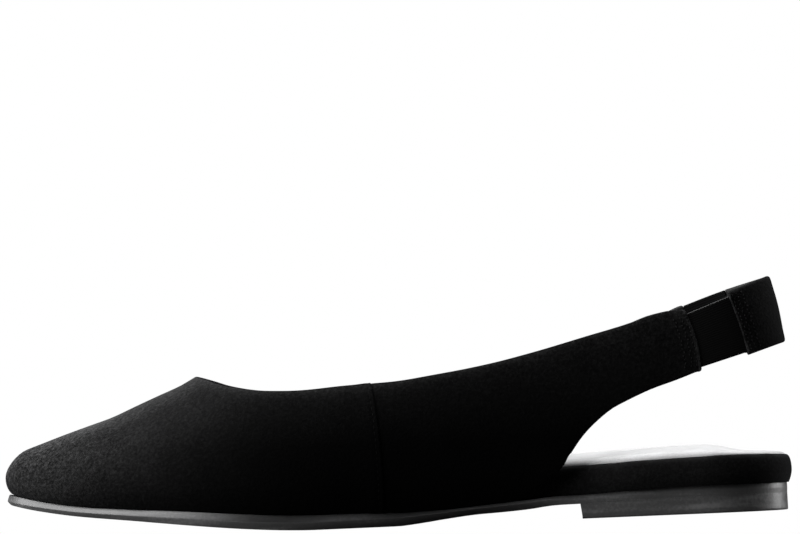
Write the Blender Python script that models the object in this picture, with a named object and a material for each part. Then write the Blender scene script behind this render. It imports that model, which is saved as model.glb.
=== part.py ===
"""A woman's sling back flat, left shoe, empty and unbent on its sole.

The last's own coordinates run from the back of the seat to the toe (X), to the outer side
of the left foot (Y) and up from the floor (Z). The empty sling_back_flat moves them so that
the middle of the heel's floor face is the world's origin. All sizes are in millimetres.
"""
import math

import bmesh
import bpy
import numpy as np

MM = 0.001

# The whole shoe
SHOE_LENGTH = 252.0
BALL_WIDTH = 79.0
SEAT_WIDTH = 52.0
FOOT_SWING = 5.0
HEEL_ROUND = 30.0
TOE_ROUND = 80.0

# Sole and heel
HEEL_HEIGHT = 5.6
HEEL_LENGTH = 66.1
HEEL_LEAN = 0.5
HEEL_BEVEL = 0.8
TOE_SPRING = 11.4
SOLE_EDGE = 3.2
SOLE_MARGIN = 0.8
EDGE_RIDGE = 0.7
SEAT_OVERHANG = 1.4

# Footbed and its padded cover
SEAT_BOARD = 8.9
FORE_BOARD = 4.5
PAD_INSET = 2.2
PAD_EDGE = 2.0
PAD_CROWN = 1.6

# Upper
WALL = 1.8
GAP = 0.3
TUCK = 9.2
TUCK_ANGLE = math.radians(62.0)
BULGE_RISE = 10.0
NOSE_LENGTH = 7.5
THROAT_HEIGHT = 50.2
VAMP_LENGTH = 63.1
TOPLINE_LOW = 44.1
SEAM_STATION = 129.2
SEAM_STEP = 0.5
SEAM_SKIVE = 9.0
SEAM_HALF = 0.1

# Sling: wing ends, elastic pieces and the band behind the heel
WING_START = 27.2
WING_LEAN = 4.4
WING_TOP = 64.3
WING_WIDTH = 19.4
WING_DRAW = 1.2
INNER_RISE = 2.2
INNER_BOW = 0.5
BAND_TOP = 74.5
BAND_WIDTH = 21.1
BAND_SETBACK = 0.0
BAND_LEAN = 4.2
BAND_RUN = 12.0
BAND_ROUND = 2.3
ELASTIC_LENGTH = 14.2
ELASTIC_FLARE = 0.7
ELASTIC_WALL = 1.1
ELASTIC_SINK = 0.5
ELASTIC_TRIM = 1.1

RIBS = 56
RIB_POINTS = 13
PLAN_POINTS = 80
MEDIAL = -1
LATERAL = 1

# station, seat share, lateral share of the ball, medial share of the ball
PLAN = (
    (0.00, 1.00, 0.000, 0.000),
    (0.10, 1.00, 0.004, 0.000),
    (0.20, 0.90, 0.053, 0.046),
    (0.28, 0.70, 0.132, 0.113),
    (0.36, 0.50, 0.218, 0.173),
    (0.44, 0.30, 0.317, 0.246),
    (0.52, 0.10, 0.422, 0.345),
    (0.60, 0.00, 0.497, 0.429),
    (0.68, 0.00, 0.517, 0.481),
    (0.74, 0.00, 0.510, 0.497),
    (0.80, 0.00, 0.487, 0.491),
    (0.90, 0.00, 0.449, 0.462),
    (1.00, 0.00, 0.410, 0.436),
)

# station, share of the heel height, share of the toe spring
SOLE_LINE = (
    (0.000, 1.000, 0.00),
    (0.120, 0.985, 0.00),
    (0.200, 0.930, 0.00),
    (0.270, 0.840, 0.00),
    (0.293, 0.825, 0.00),
    (0.306, 0.790, 0.00),
    (0.330, 0.655, 0.00),
    (0.368, 0.535, 0.00),
    (0.393, 0.480, 0.00),
    (0.431, 0.310, 0.00),
    (0.469, 0.100, 0.00),
    (0.495, 0.000, 0.00),
    (0.600, 0.000, 0.00),
    (0.631, 0.000, 0.02),
    (0.680, 0.000, 0.09),
    (0.755, 0.000, 0.25),
    (0.831, 0.000, 0.44),
    (0.910, 0.000, 0.63),
    (0.956, 0.000, 0.79),
    (1.000, 0.000, 1.00),
)

# station, thickness share, height share of the ridge, inset share at the top, at the bottom
SOLE_SIDE = (
    (0.00, 0.97, 0.50, 0.10, 0.10),
    (0.12, 1.03, 0.50, 0.10, 0.10),
    (0.27, 0.85, 0.50, 0.10, 0.10),
    (0.33, 0.88, 0.75, 0.30, 1.80),
    (0.40, 0.76, 0.82, 0.40, 3.60),
    (0.43, 0.83, 0.80, 0.50, 3.20),
    (0.47, 1.09, 0.76, 0.60, 2.80),
    (0.52, 1.31, 0.66, 0.80, 2.00),
    (0.60, 1.37, 0.57, 1.00, 1.40),
    (0.68, 1.36, 0.54, 1.00, 1.20),
    (0.74, 1.30, 0.53, 1.00, 1.20),
    (0.79, 1.17, 0.52, 1.00, 1.20),
    (0.83, 1.00, 0.52, 1.00, 1.20),
    (0.92, 0.89, 0.52, 1.00, 1.20),
    (1.00, 0.96, 0.42, 1.00, 1.40),
)

# station, tuck share lateral, tuck share medial, bulge share lateral, bulge share medial
WAIST = (
    (0.00, 0.13, 0.29, 0.80, 0.90),
    (0.28, 0.13, 0.29, 0.80, 1.00),
    (0.36, 0.19, 0.67, 0.90, 1.20),
    (0.44, 0.24, 1.00, 1.00, 1.25),
    (0.52, 0.24, 0.84, 0.95, 1.10),
    (0.60, 0.24, 0.51, 0.90, 0.95),
    (0.68, 0.24, 0.29, 0.85, 0.85),
    (0.80, 0.24, 0.24, 0.75, 0.75),
    (0.90, 0.28, 0.28, 0.60, 0.60),
    (1.00, 0.24, 0.24, 0.51, 0.51),
)

# station, crown height as a share of the throat's, roundness of the section
CROWN = (
    (0.131, 2.625, 2.00),
    (0.198, 2.445, 2.00),
    (0.278, 2.164, 1.95),
    (0.357, 1.864, 1.90),
    (0.437, 1.603, 1.85),
    (0.516, 1.423, 1.80),
    (0.575, 1.323, 1.80),
    (0.635, 1.232, 1.90),
    (0.694, 1.122, 2.02),
    (0.750, 1.000, 2.08),
    (0.766, 0.955, 2.08),
    (0.798, 0.890, 2.10),
    (0.829, 0.826, 2.12),
    (0.860, 0.761, 2.15),
    (0.891, 0.712, 2.18),
    (0.923, 0.661, 2.20),
    (0.955, 0.606, 2.20),
    (1.000, 0.530, 2.20),
)

# run from the wing's end to the throat, rise toward the wing, rise toward the throat
TOPLINE = (
    (0.000, 1.000, 0.000),
    (0.033, 0.992, 0.000),
    (0.058, 0.959, 0.000),
    (0.083, 0.912, 0.000),
    (0.107, 0.840, 0.000),
    (0.206, 0.640, 0.000),
    (0.305, 0.447, 0.000),
    (0.403, 0.284, 0.000),
    (0.500, 0.166, 0.000),
    (0.598, 0.070, 0.000),
    (0.695, 0.040, 0.000),
    (0.793, 0.000, 0.000),
    (0.843, 0.000, 0.056),
    (0.892, 0.000, 0.208),
    (0.943, 0.000, 0.491),
    (0.969, 0.000, 0.725),
    (1.000, 0.000, 1.000),
)

# station, height of the cut edge between the feather line and the wing's lower corner
CUT_EDGE = (
    (0.115, 1.000),
    (0.141, 0.935),
    (0.172, 0.866),
    (0.202, 0.780),
    (0.225, 0.704),
    (0.248, 0.586),
    (0.264, 0.476),
    (0.280, 0.327),
    (0.288, 0.238),
    (0.307, 0.136),
    (0.342, 0.000),
)

# where a rib leaves the lower edge, where it reaches the topline
RIB_LEAN = (
    (0.000, 0.000),
    (0.031, 0.043),
    (0.081, 0.120),
    (0.123, 0.197),
    (0.155, 0.267),
    (0.177, 0.322),
    (0.197, 0.370),
    (0.227, 0.418),
    (0.260, 0.460),
    (0.341, 0.536),
    (0.399, 0.594),
    (0.449, 0.634),
    (0.543, 0.726),
    (0.655, 0.819),
    (0.767, 0.892),
    (0.866, 0.947),
    (0.942, 0.982),
    (1.000, 1.000),
)

# height share, inset share of the wrapped edge's roundness
RAND = (
    (0.00, 0.60),
    (0.12, 0.20),
    (0.35, 0.00),
    (0.62, 0.00),
    (0.82, 0.17),
    (0.95, 0.48),
    (1.00, 1.00),
)
RAND_ROUND = 2.7

# station, rise share from the fore board to the seat board
BOARD = (
    (0.00, 0.95),
    (0.02, 1.00),
    (0.06, 1.03),
    (0.11, 0.99),
    (0.20, 1.00),
    (0.26, 1.02),
    (0.30, 0.98),
    (0.40, 0.45),
    (0.52, 0.00),
    (1.00, 0.00),
)

# station, thickness share of the pad's edge, share of its crown
PAD = (
    (0.00, 0.30, 0.00),
    (0.05, 0.40, 0.10),
    (0.11, 0.95, 0.95),
    (0.30, 1.00, 1.00),
    (0.50, 0.90, 0.60),
    (0.70, 0.80, 0.30),
    (1.00, 0.75, 0.20),
)


def line(table, column):
    """A smooth curve through one column of a table, which never overshoots its rows."""
    xs = [row[0] for row in table]
    ys = [row[column] for row in table]
    runs = [b - a for a, b in zip(xs, xs[1:])]
    rises = [(b - a) / run for a, b, run in zip(ys, ys[1:], runs)]
    slopes = [rises[0]]
    for before, after in zip(rises, rises[1:]):
        slopes.append(2 * before * after / (before + after) if before * after > 0 else 0.0)
    slopes.append(rises[-1])

    def at(x):
        x = min(max(x, xs[0]), xs[-1])
        i = 0
        while i < len(runs) - 1 and x > xs[i + 1]:
            i += 1
        u = (x - xs[i]) / runs[i]
        start = (1 + 2 * u) * (1 - u) ** 2 * ys[i] + u * (1 - u) ** 2 * runs[i] * slopes[i]
        end = u * u * (3 - 2 * u) * ys[i + 1] + u * u * (u - 1) * runs[i] * slopes[i + 1]
        return start + end

    return at


def ease(x, start, end):
    """0 before start and 1 after end, with no corner between."""
    u = min(max((x - start) / (end - start), 0.0), 1.0)
    return u * u * (3 - 2 * u)


def mix(a, b, share):
    return a + (b - a) * share


plan_seat = line(PLAN, 1)
plan_ball = {LATERAL: line(PLAN, 2), MEDIAL: line(PLAN, 3)}
heel_share = line(SOLE_LINE, 1)
spring_share = line(SOLE_LINE, 2)
edge_share = line(SOLE_SIDE, 1)
ridge_share = line(SOLE_SIDE, 2)
edge_top = line(SOLE_SIDE, 3)
edge_bottom = line(SOLE_SIDE, 4)
tuck_share = {LATERAL: line(WAIST, 1), MEDIAL: line(WAIST, 2)}
bulge_share = {LATERAL: line(WAIST, 3), MEDIAL: line(WAIST, 4)}
crown_share = line(CROWN, 1)
section_power = line(CROWN, 2)
wing_rise = line(TOPLINE, 1)
throat_rise = line(TOPLINE, 2)
cut_share = line(CUT_EDGE, 1)
rib_top = line(RIB_LEAN, 1)
board_share = line(BOARD, 1)
pad_share = line(PAD, 1)
pad_crown = line(PAD, 2)


# The plan of the last

def axis(t):
    """The middle of the toe swings toward the other foot."""
    return -FOOT_SWING * ease(t, 0.5, 1.0)


def half_width(t, side):
    """From the middle line to the widest line of the last, round at both ends."""
    station = t * SHOE_LENGTH
    flat = SEAT_WIDTH / 2 * plan_seat(t) + BALL_WIDTH * plan_ball[side](t)
    heel = min(max((HEEL_ROUND - station) / HEEL_ROUND, 0.0), 1.0)
    toe = min(max((station - SHOE_LENGTH + TOE_ROUND) / TOE_ROUND, 0.0), 1.0)
    return flat * (1 - heel ** 2.2) ** (1 / 2.2) * (1 - toe ** 2.15) ** (1 / 2.15)


def plan_point(turn):
    """A point of the widest line: turn 0 at the heel, 1 at the toe and 2 at the heel again."""
    turn = turn % 2.0
    side = LATERAL if turn <= 1.0 else MEDIAL
    t = (1 - math.cos(math.pi * turn)) / 2
    return np.array((t * SHOE_LENGTH, axis(t) + side * half_width(t, side), 0.0))


def plan_normal(turn):
    along = plan_point(turn + 0.004) - plan_point(turn - 0.004)
    out = np.array((-along[1], along[0], 0.0))
    return out / np.linalg.norm(out)


def turn_at(station, side):
    turn = math.acos(min(max(1 - 2 * station / SHOE_LENGTH, -1.0), 1.0)) / math.pi
    return turn if side == LATERAL else 2.0 - turn


# Heights along the shoe

def sole_bottom(t):
    return HEEL_HEIGHT * heel_share(t) + TOE_SPRING * spring_share(t)


def sole_top(t):
    return sole_bottom(t) + SOLE_EDGE * edge_share(t)


def feather(t):
    """The line where the upper and the footbed rest on the sole."""
    return sole_top(t) + GAP


def board_top(t):
    return feather(t) + mix(FORE_BOARD, SEAT_BOARD, board_share(t))


def bulge(t, side):
    return feather(t) + BULGE_RISE * bulge_share[side](t)


def crown(t):
    return THROAT_HEIGHT * crown_share(t)


# Insets from the widest line

def tuck_radius(t, side):
    return WALL + TUCK * tuck_share[side](t)


def feather_inset(t, side):
    return tuck_radius(t, side) * (1 - math.cos(TUCK_ANGLE))


def wall_inset(t, side):
    """How far in the wall's inner face lies at the feather line, where the skin leans out."""
    depth = BULGE_RISE * bulge_share[side](t) / math.tan(TUCK_ANGLE)
    return WALL * depth / math.hypot(depth, tuck_radius(t, side) * math.sin(TUCK_ANGLE))


def board_inset(t, side):
    inside = feather_inset(t, side) + wall_inset(t, side) + GAP
    return inside * ease(t, 0.18, 0.29)


def sole_inset(t, side):
    margin = SOLE_MARGIN * (0.5 + 0.5 * ease(t, 0.40, 0.58) + 1.1 * ease(t, 0.93, 1.0))
    return mix(SEAT_OVERHANG, feather_inset(t, side) - margin, ease(t, 0.22, 0.34))


# The skin of the last above its widest line

def skin_width(t, side):
    return half_width(t, side) - WING_DRAW * (1 - ease(t, 0.12, 0.27))


def skin_rise(t, side):
    """How far the crown stands over the widest line, rounded down at the nose."""
    nose = max(t * SHOE_LENGTH - SHOE_LENGTH + NOSE_LENGTH, 0.0) / NOSE_LENGTH
    return (crown(t) - bulge(t, side)) * math.sqrt(max(1 - nose * nose, 0.0))


def skin_height(station, y, side):
    t = station / SHOE_LENGTH
    power = section_power(t)
    out = min(abs(y - axis(t)) / max(skin_width(t, side), 1e-6), 1.0)
    return bulge(t, side) + skin_rise(t, side) * (1 - out ** power) ** (1 / power)


def skin_out(t, side, height):
    """How far out the skin lies at a height, as a share of its half width."""
    power = section_power(t)
    up = min(max((height - bulge(t, side)) / max(skin_rise(t, side), 1e-6), 0.0), 1.0)
    return (1 - up ** power) ** (1 / power)


def throat_station():
    return SHOE_LENGTH - VAMP_LENGTH


def topline(station, side):
    """Height of the upper's top edge at a station between the wing's end and the throat."""
    start = WING_START + WING_LEAN
    run = (station - start) / (throat_station() - start)
    peak = crown(throat_station() / SHOE_LENGTH)
    height = TOPLINE_LOW + (WING_TOP - TOPLINE_LOW) * wing_rise(run)
    height += (peak - TOPLINE_LOW) * throat_rise(run)
    return height + (INNER_RISE * (1 - ease(run, 0.0, 0.05)) if side == MEDIAL else 0.0)


def lower_edge(t, side):
    """Height of the upper's lower edge: the feather line, then the cut under the wing."""
    corner = WING_TOP - WING_WIDTH
    height = mix(feather(t), corner, cut_share(t) if t < CUT_EDGE[-1][0] else 0.0)
    rise = INNER_RISE * (1 - ease(t, CUT_EDGE[0][0], 0.24))
    return height + (rise if side == MEDIAL else 0.0)


def rib_path(station, side):
    """One rib of the upper, from its lower edge over the side to the topline."""
    t = station / SHOE_LENGTH
    turn = turn_at(station, side)
    normal = plan_normal(turn)
    widest = plan_point(turn)
    widest[1] -= side * (half_width(t, side) - skin_width(t, side))
    low = lower_edge(t, side)
    middle = bulge(t, side)
    path = []
    if low < middle:
        depth = (middle - feather(t)) / math.sin(TUCK_ANGLE)
        first = min(math.asin(min((middle - low) / depth, 1.0)), TUCK_ANGLE)
        for k in range(12):
            angle = first * (1 - k / 12)
            point = widest - normal * tuck_radius(t, side) * (1 - math.cos(angle))
            point[2] = middle - depth * math.sin(angle)
            path.append(point)
        start = widest
        start_out = 1.0
    else:
        start_out = skin_out(t, side, low)
        start = np.array((station, axis(t) + side * skin_width(t, side) * start_out, 0.0))
    run = (station - WING_START) / (SHOE_LENGTH - WING_START)
    wing = WING_START + WING_LEAN
    top_station = mix(wing, throat_station(), rib_top(run))
    top_t = top_station / SHOE_LENGTH
    top_out = skin_out(top_t, side, topline(top_station, side))
    top = np.array((top_station, axis(top_t) + side * skin_width(top_t, side) * top_out, 0.0))
    first = math.acos(start_out)
    last = math.acos(top_out)
    for k in range(41):
        out = math.cos(mix(first, last, k / 40))
        point = mix(start, top, (start_out - out) / (start_out - math.cos(last)))
        if k == 0:
            point[2] = max(low, middle)
        else:
            point[2] = skin_height(point[0], point[1], side)
        path.append(point)
    return path


def respace(path, count, bias):
    """The same path with evenly growing steps."""
    path = np.array(path)
    steps = np.linalg.norm(np.diff(path, axis=0), axis=1)
    run = np.concatenate(([0.0], np.cumsum(steps)))
    where = run[-1] * np.linspace(0.0, 1.0, round(count)) ** bias
    return np.stack([np.interp(where, run, path[:, k]) for k in range(3)], axis=1)


def rib_stations():
    """Stations of the ribs on one side: closer round the toe and in the heel cut-out."""
    fine = np.linspace(WING_START, SHOE_LENGTH, 2000)
    points = []
    for station in fine:
        t = station / SHOE_LENGTH
        point = plan_point(turn_at(station, LATERAL))
        point[2] = lower_edge(t, LATERAL)
        points.append(point)
    steps = np.linalg.norm(np.diff(points, axis=0), axis=1)
    share = fine[1:] / SHOE_LENGTH
    steps *= 1 + np.clip((share - 0.82) / 0.1, 0, 1) + 0.7 * ((share > 0.24) & (share < 0.32))
    run = np.concatenate(([0.0], np.cumsum(steps)))
    stations = np.interp(np.linspace(0.0, run[-1], RIBS), run, fine)
    seam = int(np.argmin(abs(stations - SEAM_STATION)))
    return np.concatenate((stations[:seam], (SEAM_STATION - SEAM_HALF, SEAM_STATION + SEAM_HALF),
                           stations[seam + 1:]))


def surface_normals(grid, outward):
    """Unit normals of a grid of points, turned by outward, +1 or -1."""
    along = np.gradient(grid, axis=0)
    up = np.gradient(grid, axis=1)
    normals = np.cross(up, along) * outward
    return normals / np.linalg.norm(normals, axis=2, keepdims=True)


# Solids

def new_object(name, bm, material, parent):
    bmesh.ops.recalc_face_normals(bm, faces=bm.faces)
    mesh = bpy.data.meshes.new(name)
    bm.to_mesh(mesh)
    bm.free()
    mesh.materials.append(material)
    mesh.shade_smooth()
    mesh.set_sharp_from_angle(angle=math.radians(35))
    item = bpy.data.objects.new(name, mesh)
    item.parent = parent
    bpy.context.collection.objects.link(item)
    return item


def new_material(name, colour, roughness):
    material = bpy.data.materials.new(name)
    material.use_nodes = True
    shader = material.node_tree.nodes["Principled BSDF"]
    shader.inputs["Base Color"].default_value = (*colour, 1.0)
    shader.inputs["Roughness"].default_value = roughness
    shader.inputs["Metallic"].default_value = 0.0
    return material


def skinned(rings):
    """A bmesh with a quad between each two neighbours of each two rings, open at both ends."""
    bm = bmesh.new()
    rows = [[bm.verts.new(np.asarray(point) * MM) for point in ring] for ring in rings]
    count = len(rows[0])
    for one, two in zip(rows, rows[1:]):
        for i in range(count):
            j = (i + 1) % count
            bm.faces.new((one[i], one[j], two[j], two[i]))
    return bm, rows


def close_strip(bm, row):
    """Fills a ring whose first and last points face each other."""
    last = len(row) - 1
    for i in range(len(row) // 2 - 1):
        bm.faces.new((row[i], row[i + 1], row[last - i - 1], row[last - i]))
    if last % 2 == 0:
        middle = last // 2
        bm.faces.new((row[middle - 1], row[middle], row[middle + 1]))


def close_plan(bm, row, columns=0, lift=None):
    """Fills a plan ring with rows from side to side, with points between them to lift."""
    half = len(row) // 2
    spans = [[row[0]]]
    for i in range(1, half):
        a, b = row[i], row[-i]
        between = []
        for k in range(1, columns + 1):
            share = k / (columns + 1)
            point = a.co.lerp(b.co, share)
            point.z += lift(point.x / MM / SHOE_LENGTH, share) * MM
            between.append(bm.verts.new(point))
        spans.append([a, *between, b])
    spans.append([row[half]])
    for one, two in zip(spans, spans[1:]):
        if len(one) == 1 or len(two) == 1:
            tip, side = (one[0], two) if len(one) == 1 else (two[0], one)
            for a, b in zip(side, side[1:]):
                bm.faces.new((tip, a, b))
            continue
        for i in range(len(one) - 1):
            bm.faces.new((one[i], one[i + 1], two[i + 1], two[i]))


def plan_ring(inset, height):
    """A closed ring round the last: its inset and its height are functions of t and the side."""
    ring = []
    for k in range(PLAN_POINTS):
        turn = 2 * k / PLAN_POINTS
        side = LATERAL if turn <= 1.0 else MEDIAL
        t = (1 - math.cos(math.pi * turn)) / 2
        point = plan_point(turn) - plan_normal(turn) * inset(t, side)
        point[2] = height(t)
        ring.append(point)
    return ring


def outsole_rings():
    rings = []
    for low, high in ((1.0, 0.0), (0.35, 0.45), (0.0, 0.85), (0.0, 1.0)):
        rings.append(plan_ring(
            lambda t, side, low=low: sole_inset(t, side) + EDGE_RIDGE * edge_bottom(t) * low,
            lambda t, high=high: sole_bottom(t) + SOLE_EDGE * edge_share(t) * ridge_share(t) * high))
    for low, high in ((0.12, 0.25), (1.0, 1.0)):
        rings.append(plan_ring(
            lambda t, side, low=low: sole_inset(t, side) + EDGE_RIDGE * edge_top(t) * low,
            lambda t, high=high: mix(sole_bottom(t) + SOLE_EDGE * edge_share(t) * ridge_share(t),
                                     sole_top(t), high)))
    return rings


def heel_ring(inset, height, front):
    """Round the seat from the lateral end of the breast to the medial one."""
    ring = []
    count = 37
    reach = turn_at(front, LATERAL)
    for k in range(count):
        turn = mix(reach, -reach, k / (count - 1))
        side = LATERAL if turn >= 0 else MEDIAL
        t = (1 - math.cos(math.pi * turn)) / 2
        point = plan_point(turn) - plan_normal(turn) * (sole_inset(t, side) + inset)
        point[0] = min(point[0], front)
        point[2] = height(t)
        ring.append(point)
    ring[0][0] = front
    ring[-1][0] = front
    return ring


def heel_rings():
    """From the floor up to the underside of the sole, with the breast leaning forward."""
    front = SEAT_OVERHANG + HEEL_LENGTH - HEEL_LEAN
    rings = [heel_ring(HEEL_BEVEL, lambda t: 0.0, front - HEEL_BEVEL / 2)]
    rings.append(heel_ring(0.0, lambda t: HEEL_BEVEL, front))
    for share in (0.5, 1.0):
        rings.append(heel_ring(
            EDGE_RIDGE * 0.1,
            lambda t, share=share: mix(HEEL_BEVEL, sole_bottom(t) - GAP, share),
            front + HEEL_LEAN * share))
    return rings


def footbed_rings():
    rings = []
    for height, inset in RAND:
        def inner(t, side, inset=inset):
            thick = board_top(t) - feather(t)
            return board_inset(t, side) + RAND_ROUND * inset * thick / SEAT_BOARD

        rings.append(plan_ring(inner, lambda t, h=height: mix(feather(t), board_top(t), h)))
    return rings


def sock_rings():
    rings = []
    for height, inset in ((0.0, 0.5), (0.3, 0.0), (0.7, 0.1), (1.0, 0.9)):
        def inner(t, side, inset=inset):
            return board_inset(t, side) + PAD_INSET + PAD_EDGE * inset

        rings.append(plan_ring(
            inner, lambda t, h=height: board_top(t) + GAP + PAD_EDGE * pad_share(t) * h))
    return rings


def upper_ribs():
    stations = rib_stations()
    lateral = [(s, LATERAL) for s in stations]
    medial = [(s, MEDIAL) for s in stations[-2::-1]]
    grid = []
    steps = []
    for station, side in lateral + medial:
        t = station / SHOE_LENGTH
        grid.append(respace(rib_path(station, side), RIB_POINTS, mix(1.0, 1.6, ease(t, 0.28, 0.4))))
        behind = station < SEAM_STATION
        steps.append(0.0 if behind else 1 - ease(station, SEAM_STATION, SEAM_STATION + SEAM_SKIVE))
    grid = np.array(grid)
    normals = surface_normals(grid, 1)
    outer = grid + normals * SEAM_STEP * np.array(steps)[:, None, None]
    return grid, normals, outer, grid - normals * WALL


def wing_end(rows, height):
    """The wing's end rib, or its normals, at a share of its height."""
    where = np.linspace(0.0, 1.0, len(rows))
    return np.array([np.interp(height, where, rows[:, k]) for k in range(3)])


def sling_point(share, height, ends):
    """A point of the loop behind the heel: share 0 at a wing's end and 1 at the back."""
    side = LATERAL if share >= 0 else MEDIAL
    reach = abs(share)
    end = wing_end(ends[side], height)
    back = np.array((mix(BAND_SETBACK, BAND_SETBACK + BAND_LEAN, height), 0.0,
                     mix(BAND_TOP - BAND_WIDTH, BAND_TOP, height)))
    centre = end[0] + BAND_RUN
    length = centre - back[0]
    x = mix(end[0], back[0], reach)
    width = end[1] / (1 - (BAND_RUN / length) ** BAND_ROUND) ** (1 / BAND_ROUND)
    far = min((centre - x) / length, 1.0)
    y = width * (1 - far ** BAND_ROUND) ** (1 / BAND_ROUND)
    bow = INNER_BOW * math.sin(math.pi * reach) * height if side == MEDIAL else 0.0
    return np.array((x, y, mix(end[2], back[2], reach) + bow))


def elastic_share(height, ends, side):
    """Where the elastic piece ends, as a share of the way to the back."""
    end = wing_end(ends[side], height)
    back = mix(BAND_SETBACK, BAND_SETBACK + BAND_LEAN, height)
    return (ELASTIC_LENGTH + ELASTIC_FLARE * (1 - 2 * height)) / (end[0] - back)


def sheet_rings(grid, outward, sink, wall, first=None):
    """Rings round each column of a sheet of this wall, whose outer face lies sink inside the grid."""
    normals = surface_normals(grid, outward)
    if first is not None:
        normals[0] = first
    outer = grid - normals * sink
    inner = grid - normals * (sink + wall)
    return [[*one, *two[::-1]] for one, two in zip(outer, inner)]


def elastic_rings(ends, normals, side):
    trim = ELASTIC_TRIM / BAND_WIDTH
    heights = np.linspace(trim, 1 - (trim if side == LATERAL else 0.0), 4)
    grid = []
    for k in range(8):
        column = []
        for height in heights:
            first = GAP / (wing_end(ends[side], height)[0] - BAND_SETBACK)
            share = mix(first, elastic_share(height, ends, side), k / 7)
            column.append(sling_point(share * side, height, ends))
        grid.append(column)
    first = np.array([wing_end(normals[side], height) for height in heights])
    return sheet_rings(np.array(grid), -side, ELASTIC_SINK, ELASTIC_WALL, first)


def band_rings(ends):
    heights = np.linspace(0.0, 1.0, 5)
    columns = 31
    grid = []
    for k in range(columns):
        turn = mix(1.0, -1.0, k / (columns - 1))
        side = LATERAL if turn > 0 else MEDIAL
        column = []
        for height in heights:
            gap = GAP / (wing_end(ends[side], height)[0] - BAND_SETBACK)
            first = elastic_share(height, ends, side) + gap
            # Steps close up toward the back, where the loop runs across the shoe.
            share = 1 - (1 - first) * (1 - math.cos(math.pi / 2 * abs(turn)))
            column.append(sling_point(share if turn >= 0 else -share, height, ends))
        grid.append(column)
    return sheet_rings(np.array(grid), -1, 0.0, WALL)


def build():
    for item in list(bpy.data.objects):
        bpy.data.objects.remove(item)
    suede = new_material("black_suede", (0.012, 0.012, 0.013), 0.95)
    rubber = new_material("black_sole", (0.025, 0.025, 0.026), 0.35)
    lining = new_material("light_grey_sock", (0.62, 0.62, 0.62), 0.6)
    web = new_material("black_elastic", (0.010, 0.010, 0.011), 0.85)
    shoe = bpy.data.objects.new("sling_back_flat", None)
    shoe.location.x = -(SEAT_OVERHANG + HEEL_LENGTH / 2) * MM
    bpy.context.collection.objects.link(shoe)

    for name, rings, material in (
        ("outsole", outsole_rings(), rubber),
        ("footbed", footbed_rings(), suede),
    ):
        bm, rows = skinned(rings)
        close_plan(bm, rows[0])
        close_plan(bm, rows[-1])
        new_object(name, bm, material, shoe)

    bm, rows = skinned(sock_rings())
    close_plan(bm, rows[0])
    close_plan(bm, rows[-1], 5,
               lambda t, share: PAD_CROWN * pad_crown(t) * (1 - abs(2 * share - 1) ** 2.5))
    new_object("sock", bm, lining, shoe)

    bm, rows = skinned(heel_rings())
    close_strip(bm, rows[0])
    close_strip(bm, rows[-1])
    new_object("heel", bm, rubber, shoe)

    grid, normals, outer, inner = upper_ribs()
    strips = [("upper", [[*one, *two[::-1]] for one, two in zip(outer, inner)], suede)]
    ends = {LATERAL: grid[0], MEDIAL: grid[-1]}
    end_normals = {LATERAL: normals[0], MEDIAL: normals[-1]}
    strips.append(("elastic_lateral", elastic_rings(ends, end_normals, LATERAL), web))
    strips.append(("elastic_medial", elastic_rings(ends, end_normals, MEDIAL), web))
    strips.append(("heel_strap", band_rings(ends), suede))
    for name, rings, material in strips:
        bm, rows = skinned(rings)
        close_strip(bm, rows[0])
        close_strip(bm, rows[-1])
        new_object(name, bm, material, shoe)


build()
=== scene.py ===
"""A woman's sling back flat in black suede, left shoe, empty on its sole.

Shapes are worked out in millimetres in the last's own coordinates: X from the back of the seat
to the toe, Y to the outer side of the left foot, Z up from the floor. place_on_floor() moves
them so that the middle of the heel's floor face is the origin, in metres.
"""

import math

import bmesh
import bpy
import numpy as np
from mathutils import Matrix, Vector


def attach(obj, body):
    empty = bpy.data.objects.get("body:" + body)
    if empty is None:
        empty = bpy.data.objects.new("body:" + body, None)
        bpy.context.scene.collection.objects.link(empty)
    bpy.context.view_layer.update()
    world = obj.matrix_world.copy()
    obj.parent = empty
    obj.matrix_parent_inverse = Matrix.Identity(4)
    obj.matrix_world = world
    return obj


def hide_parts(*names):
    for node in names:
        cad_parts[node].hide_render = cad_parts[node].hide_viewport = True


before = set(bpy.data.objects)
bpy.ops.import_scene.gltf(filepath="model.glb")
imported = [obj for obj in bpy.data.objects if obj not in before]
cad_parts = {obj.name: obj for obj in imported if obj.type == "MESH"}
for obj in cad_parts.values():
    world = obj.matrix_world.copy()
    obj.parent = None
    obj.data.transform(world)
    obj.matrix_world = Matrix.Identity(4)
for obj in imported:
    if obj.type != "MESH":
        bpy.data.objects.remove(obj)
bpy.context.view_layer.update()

# The whole shoe
SHOE_LENGTH = 252.0
BALL_WIDTH = 79.0
SEAT_WIDTH = 52.0
FOOT_SWING = 5.0
HEEL_ROUND = 30.0
TOE_ROUND = 80.0

# Sole and heel
HEEL_HEIGHT = 5.6
HEEL_LENGTH = 66.1
HEEL_LEAN = 0.5
HEEL_BEVEL = 0.8
TOE_SPRING = 11.4
SOLE_EDGE = 3.2
SOLE_MARGIN = 0.8
EDGE_RIDGE = 0.7
SEAT_OVERHANG = 1.4
HEEL_CENTRE = SEAT_OVERHANG + HEEL_LENGTH / 2

# Footbed and its padded cover
SEAT_BOARD = 8.9
FORE_BOARD = 4.5
RAND_ROUND = 2.7
PAD_INSET = 2.2
PAD_EDGE = 2.0
PAD_CROWN = 1.6

# Upper
WALL = 1.8
GAP = 0.3
TUCK = 9.2
TUCK_ANGLE = math.radians(62.0)
BULGE_RISE = 10.0
NOSE_LENGTH = 7.5
THROAT_HEIGHT = 50.2
VAMP_LENGTH = 63.1
TOPLINE_LOW = 44.1
SEAM_STATION = 129.2
SEAM_STEP = 0.5
SEAM_SKIVE = 9.0

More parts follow.
